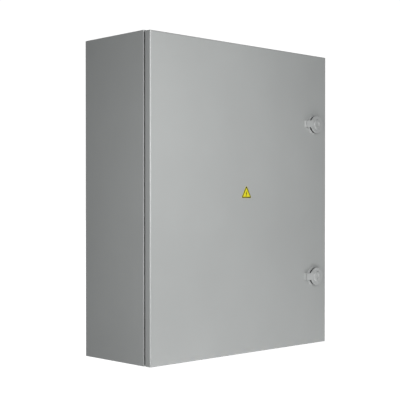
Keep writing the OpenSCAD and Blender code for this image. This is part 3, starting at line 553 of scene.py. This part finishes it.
def round_rect(low_x, high_x, low_z, high_z, r, steps=5):
    """A rectangle with round corners, as an x-z outline."""
    left, right, bottom, top = low_x + r, high_x - r, low_z + r, high_z - r
    centres = ((right, top), (left, top), (left, bottom), (right, bottom))
    return [p for i, (x, z) in enumerate(centres) for p in arc(x, z, r, 90 * i, 90 * i + 90, steps)]


def about(x, z, half_x, half_z, r=1.0):
    """A rounded rectangle about its middle."""
    return round_rect(x - half_x, x + half_x, z - half_z, z + half_z, r)


def round_triangle(x, z, reach, r):
    """A triangle with its point up; reach is from its middle to each corner's centre."""
    return [p for a in (90, 210, 330) for p in arc(x + reach * math.cos(math.radians(a)),
            z + reach * math.sin(math.radians(a)), r, a - 60, a + 60, 6)]


def box(name):
    """A node's low corner, high corner and middle, in millimetres."""
    low, high = (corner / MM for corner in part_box(name))
    return low, high, (low + high) / 2


def evenly_spaced(corners, step):
    """A closed outline's points with more of them along its straight stretches."""
    track = []
    for (x, z), (next_x, next_z) in zip(corners, corners[1:] + corners[:1]):
        steps = max(1, round(math.hypot(next_x - x, next_z - z) / step))
        track += [(x + (next_x - x) * k / steps, z + (next_z - z) * k / steps) for k in range(steps)]
    return track


# ---------------------------------------------------------------- pieces on the door

FACE = DOOR_FACE / MM
PRINT = 0.25  # how high a printed mark stands
LABEL = 0.3  # how thick a label is


def lock_shade_rings():
    """Black rings between each lock's flange and its dust cover: dark pieces put in as painted shade for
    the gap under the cover.
    """
    profile = [(20.05, 3.05), (23.3, 3.05), (23.7, 3.4), (23.7, 6.6), (23.3, 7.1), (20.6, 7.1),
               (20.05, 6.6)]
    for which in ("upper", "lower"):
        middle = box("lock_barrel_" + which)[2]
        # painted shade: a black ring where the gap under the dust cover is only in shadow, not a real seal
        shade_ring = Piece().turned(profile, (middle.x, FACE, middle.z), "out", 64, closed=True)
        shade_ring.build("lock_shade_ring_" + which, [RUBBER], "door", "rubber")


def sign_print():
    """The sign's print: a border and a plain bolt."""
    corner, inset, line, thick, size = 2.5, 0.6, 2.6, 0.12, 0.8
    low, high, middle = box("warning_sign")
    reach = (high.z - low.z - 2 * corner) / 1.5
    centre = low.z + corner + reach / 2
    ink = Piece()
    ink.border(round_triangle(middle.x, centre, reach, corner - inset),
               round_triangle(middle.x, centre, reach - line, corner - inset - 1), low.y, low.y - thick)
    bolt = [(1.6, 8.2), (-2.6, -0.4), (-0.3, 0.5), (-2.2, -5.6), (-3.0, -5.2), (-1.6, -9.4), (0.9, -6.0),
            (-0.6, -6.1), (2.6, 2.2), (0.3, 1.3), (3.2, 8.2)]
    ink.plate([(middle.x + size * x, centre + size * z) for x, z in bolt], low.y, low.y - thick)
    ink.build("sign_print", [INK], "door", "dark_plastic")


def foam_gasket():
    """The door's foam gasket: a crowned bead with the lip's line pressed into it."""
    low, high = box("door_gasket")[:2]
    width, tall = 9, high.y - low.y
    half_bead = [(0.5, 0.25), (0.485, 0.5), (0.45, 0.72), (0.37, 0.88), (0.24, 0.975), (0.12, 0.985),
                 (0.05, 0.93)]
    bead = [(-0.5, 0.0), (0.5, 0.0)] + half_bead + [(-across, rise) for across, rise in reversed(half_bead)]
    half = width / 2
    corners = round_rect(low.x + half, high.x - half, low.z + half, high.z - half, 3.5, 6)
    loops = []
    track = evenly_spaced(corners, 25)
    for i, (x, z) in enumerate(track):
        ahead = Vector(track[(i + 1) % len(track)]) - Vector(track[i - 1])
        out = Vector((ahead.y, -ahead.x)).normalized() * width
        swell, crown = 1 - draw.uniform(0, 0.03), 1 - draw.uniform(0, 0.012)
        loops.append([(x + out.x * across * (swell if rise > 0 else 1), high.y - tall * rise * crown,
                       z + out.y * across * (swell if rise > 0 else 1)) for across, rise in bead])
    gasket = Piece().loft(loops, 0, True).build("door_gasket_foam", [FOAM], "door", "rubber")
    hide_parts("door_gasket")


# ---------------------------------------------------------------- rubber and wires

def cable_entries():
    """Rubber cable entries: a lip each side of the plate, then ribs up to a thin sleeve."""
    low, high = box("cable_grommets")[:2]
    plate_top = box("gland_plate")[1].z - low.z
    shell = SHELL_LOW.z / MM + SHEET - low.z
    tall = high.z - low.z
    collar_top, rib_count = plate_top + 3.2, 4
    entries = Piece()
    for mount in frame["record"]["mounts"]:
        if not mount["name"].startswith("cable_entry"):
            continue
        bore = mount["dims"]["r_mm"]
        hole = bore + (9 if bore > 10 else 7)
        rise, span = tall - collar_top, hole - bore - 1.6
        outline = [(bore, 0), (hole + 2.4, 0), (hole + 3, 0.4), (hole + 3, shell - 0.1),
                   (hole - 0.2, shell - 0.1), (hole - 0.2, plate_top + 0.1), (hole + 4, plate_top + 0.1),
                   (hole + 4, plate_top + 1.6), (hole + 3.2, plate_top + 2.6), (hole, collar_top)]
        for rib in range(rib_count):
            r, z = hole - 0.6 - span * rib / rib_count, collar_top + rise * rib / rib_count
            outline += [(r, z + rise * 0.17), (r - span * 0.18, z + rise * 0.2),
                        (r - span * 0.2, z + rise * 0.24)]
        outline += [(bore + 1.4, tall - 0.3), (bore + 0.9, tall), (bore, tall)]
        x, y = (c / MM for c in mount["pos_m"][:2])
        entries.turned(outline, (x, y, low.z), "up", 48, closed=True)
    entries = entries.build("cable_entry_rubbers", [RUBBER], "cabinet", "rubber")
    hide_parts("cable_grommets")


def bonding_ring(name, body, place, axis, hole):
    """A ring terminal with its crimped sleeve below it."""
    profile = [(hole, -0.7), (RING_R - 0.2, -0.7), (RING_R, -0.5), (RING_R, 0.5), (RING_R - 0.2, 0.7),
               (hole, 0.7)]
    sleeve = [(2.0, 0), (3.3, 0), (3.3, 3.4), (3.0, 4.2), (3.3, 5), (3.3, 8.6), (2.5, 8.6)]
    ring = Piece().turned(profile, place, axis, 36, closed=True)
    ring.turned(sleeve, (place.x, place.y, place.z - 17.5), "up", 20, closed=True)
    ring.turned([(0, 0), (2.9, 0), (2.9, 2.2), (0, 2.2)], (place.x, place.y, place.z - 9.2), "up", 20)
    ring.build(name, [ZINC], body, "zinc")


def bonding_wire():
    """The door's bonding wire: green with a yellow stripe, a crimped ring at each end."""
    low, high = box("door_bond_wire")[:2]
    wire_r, bend = 2.6, 14
    on_wall = Vector((low.x + 1, high.y - RING_R, high.z - RING_R))
    on_door = Vector((high.x - RING_R, low.y + 1, high.z - RING_R))
    bottom = low.z + wire_r
    flat = (on_door - on_wall).normalized()
    run = (on_door - on_wall).length
    route = [(0, on_wall.z - 9 - k * 3) for k in range(8)]
    route += [(bend - bend * math.cos(math.radians(a)), bottom + bend - bend * math.sin(math.radians(a)))
              for a in range(9, 91, 9)]
    route = route + [(run / 2, bottom)] + [(run - d, z) for d, z in reversed(route)]
    path = [on_wall + flat * d + Vector((0, 0, z - on_wall.z)) for d, z in route]
    wire = Piece().tube(path, wire_r, 16, lambda i: 1 if i % 8 < 3 else 0, twist=0.10)
    wire = wire.build("bonding_wire", [EARTH_GREEN, EARTH_YELLOW], slot="earth_wire")
    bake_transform(wire)
    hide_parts("door_bond_wire")
    bonding_ring("bonding_ring_cabinet", "cabinet", on_wall, "right", 4.1)
    bonding_ring("bonding_ring_door", "door", on_door, "out", 3.1)


def control_wiring():
    """Control wires, from the devices' lower edges into the duct, each with a pale ferrule sleeve."""
    slot_pitch, steps = 25, 14
    low, high, middle = box("control_wires")
    devices = [box(name)[:2] for name in ("control_breaker", "controller_case", "terminal_blocks")]
    ferrule = [(1.25, 0), (1.9, 0), (1.9, 5.4), (1.7, 6), (1.25, 6)]
    wires = Piece()
    slot_x = low.x + 3.2
    while slot_x < high.x:
        for device_low, device_high in devices:
            if not device_low.x < slot_x < device_high.x:
                continue
            for side in (-2, 2):
                x, foot, top = slot_x + side, low.z, device_low.z
                bow, sway = draw.uniform(-1.0, 1.0), draw.uniform(-0.5, 0.5)
                swings = [(k / steps, math.sin(math.pi * k / steps)) for k in range(steps + 1)]
                wires.tube([(x + sway * swing, middle.y + 1.6 * bow * swing, foot + (top - foot) * t)
                            for t, swing in swings], 1.2, 10, 0)
                wires.turned(ferrule, (x, middle.y, top - 6.2), "up", 12, 1, closed=True)
        slot_x += slot_pitch
    wires = wires.build("control_wiring", [BLUE, LIGHT], "cabinet", "blue_wire")
    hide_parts("control_wires")


# ---------------------------------------------------------------- small fittings and marks on the devices

def breaker_marks(screws):
    """Source breakers: plain labels, on and off marks, a frame round the toggle, case screws."""
    for number in (1, 2):
        low, high, middle = box(f"source_breaker_{number}")
        nose, face = low.y, low.y + 8
        marks = Piece()
        marks.plate(about(middle.x, high.z - 34, 34, 5.5), face, face - LABEL, 0)
        marks.plate(about(middle.x, high.z - 37.5, 33, 1.2, 0.4), face - LABEL, face - LABEL - 0.12, number)
        marks.plate(about(middle.x, low.z + 34, 34, 5.5), face, face - LABEL, 0)
        slot_z = (low.z + high.z) / 2
        marks.plate(about(middle.x, slot_z + 24, 0.9, 3.6, 0.3), nose, nose - 0.2, 0)
        marks.border(about(middle.x, slot_z - 24.5, 3.4, 3.4, 3.3),
                     about(middle.x, slot_z - 24.5, 2.2, 2.2, 2.1), nose, nose - 0.2, 0)
        marks.border(about(middle.x, slot_z, 21.5, 27.5, 2.5), about(middle.x, slot_z, 20.3, 26.3, 1.8),
                     nose, nose - PRINT, 3)
        marks.build(f"breaker_marks_{number}", [WHITE, BLUE, RED, GALVANISED], "cabinet", "white_plastic")
        for x in (-35, 35):
            for z in (-17, 17):
                screws.screw(middle.x + x, face, slot_z + z, 3, draw.uniform(0, 180))


def changeover_ribs(screws):
    """Changeover switch: ribs over each pole, two labels, cover screws."""
    pole_pitch, rib_pitch, rib_count = 80, 9, 6
    low, high, middle = box("changeover_cover")
    ribs = Piece()
    for pole in range(3):
        x = low.x + 45 + pole_pitch * pole
        for i in range(rib_count):
            z = middle.z + rib_pitch * (i - (rib_count - 1) / 2)
            ribs.plate(about(x, z, 24, 1.5, 1.4), low.y, low.y - 1.4)
    for z in (high.z - 16, low.z + 16):
        ribs.plate(about(middle.x, z, 40, 4), low.y, low.y - LABEL, 1)
    ribs.build("cover_ribs", [LIGHT, GALVANISED], "cabinet", "light_plastic", 0.3)
    for x in (low.x + 5.7, high.x - 5.7):
        for z in (low.z + 5, high.z - 5):
            screws.screw(x, low.y + 6, z, 2.6, draw.uniform(0, 180))


def drum_marks(drum, r):
    """Marks laid round the drum: two bars, a ring and one bar, a throw apart."""
    throw, skin = 45, 0.01

    def laid(outline, turn, height):
        angles = [math.radians(turn) + z / r for x, z in outline]
        return [(drum.x + x, drum.y - (r + height) * math.cos(a), drum.z + (r + height) * math.sin(a))
                for (x, z), a in zip(outline, angles)]

    marks = Piece()
    for turn, bars in ((-throw, 2), (throw, 1)):
        for k in range(bars):
            bar = about((k - (bars - 1) / 2) * 3.4, 0, 0.8, 4.2, 0.3)
            marks.loft([laid(bar, turn, skin), laid(bar, turn, PRINT)])
    outer, inner = about(0, 0, 4.2, 4.2, 4.1), about(0, 0, 2.9, 2.9, 2.8)
    marks.loft([laid(outer, 0, skin), laid(outer, 0, PRINT), laid(inner, 0, PRINT), laid(inner, 0, skin)],
               0, True)
    marks.build("drum_marks", [WHITE], "rotor", "white_plastic")


def drive_front(screws):
    """Drive housing: a clear window over the drum, marks on the drum, case screws, a plain label."""
    low, high, middle = box("drive_housing")
    drum_low, drum_high, drum = box("position_drum")
    Piece().plate(about(drum.x, drum.z, 7.8, 8.8, 0.6), low.y + 2.4, low.y + 0.6).build(
        "drum_window", [WINDOW], "cabinet", "screen", 0.2)
    Piece().border(about(drum.x, drum.z, 11, 12, 2), about(drum.x, drum.z, 8.6, 9.6, 0.8),
                   low.y, low.y - 1.2).build("drum_window_frame", [GALVANISED], "cabinet", "zinc", 0.2)
    drum_marks(drum, (drum_high.z - drum_low.z) / 2)
    inset = 6
    for z in (high.z - inset, low.z + inset):
        for x in (low.x + inset, high.x - inset):
            screws.screw(x, low.y, z, 2.8, draw.uniform(0, 180))
    Piece().plate(about(middle.x - 12, low.z + 26, 14, 8), low.y, low.y - LABEL).build(
        "drive_label", [GALVANISED], "cabinet", "zinc")


def controller_front():
    """Controller: source and load lines, status lamps, a frame round the display."""
    front = box("controller_case")[0].y
    screen, test, auto = (box(name)[2] for name in ("controller_screen", "button_test", "button_auto"))
    centre = (auto.x + test.x) / 2
    line_z = screen.z + 18.5
    film = Piece()
    film.border(about(screen.x, screen.z, 34, 26.5, 3), about(screen.x, screen.z, 31.2, 23.2, 1.2),
                front, front - 0.5, 0)
    film.plate(about(centre, line_z, 24, 1.0, 0.4), front, front - PRINT, 1)
    for x in (auto.x, test.x):
        film.border(about(x, test.z, 8.2, 8.2, 2.4), about(x, test.z, 7.4, 7.4, 1.8),
                    front, front - PRINT, 1)
        film.plate(about(x, screen.z + 9.5, 0.5, 8.5, 0.3), front, front - PRINT, 1)
    film.build("controller_print", [GALVANISED, WHITE], "cabinet", "white_plastic")
    lens = [(0, 0.01), (2.6, 0.01), (2.6, 0.5), (2.3, 1.1), (1.7, 1.7), (0.9, 2.05), (0, 2.1)]
    for name, x, z, look, slot in (("lamp_source_1", auto.x, line_z, GREEN, "green_plastic"),
                                   ("lamp_source_2", test.x, line_z, RED, "red_plastic"),
                                   ("lamp_load", centre, screen.z - 1.5, YELLOW, "sign_yellow")):
        Piece().turned(lens, (x, front, z), "out", 28).build(name, [look], "cabinet", slot)


def terminal_markers(screws):
    """Terminal blocks: a screw and a white marker at each side of each block."""
    pitch, count = 6.5, 10
    low, middle = box("terminal_blocks")[::2]
    markers = Piece()
    for i in range(count):
        x = low.x + 3.2 + pitch * i
        for z in (-21, 21):
            screws.screw(x, low.y + 16.5, middle.z + z, 1.85, draw.uniform(0, 180))
        for z in (-8.5, 8.5):
            markers.plate(about(x, middle.z + z, 2.5, 2.6, 0.4), low.y, low.y - 0.5)
    markers.build("terminal_markers", [WHITE], "cabinet", "white_plastic", 0.1)


def control_breaker_marks(screws):
    """Control breaker: terminal screws, a coloured band and an on mark."""
    low, middle = box("control_breaker")[::2]
    for x in (-9, 9):
        for z in (-32, 32):
            screws.screw(middle.x + x, low.y + 24, middle.z + z, 2.7, draw.uniform(0, 180))
    band = Piece()
    band.plate(about(middle.x, middle.z - 17, 15.5, 1.6, 0.5), low.y, low.y - PRINT, 0)
    band.plate(about(middle.x, middle.z + 17, 0.8, 3.0, 0.3), low.y, low.y - PRINT, 1)
    band.build("control_breaker_marks", [BLUE, INK], "cabinet", "blue_wire")


lock_shade_rings()
sign_print()
foam_gasket()
cable_entries()
bonding_wire()
control_wiring()
device_screws = Piece()
breaker_marks(device_screws)
changeover_ribs(device_screws)
drive_front(device_screws)
controller_front()
terminal_markers(device_screws)
control_breaker_marks(device_screws)
device_screws.build("device_screws", [ZINC], "cabinet", "zinc")
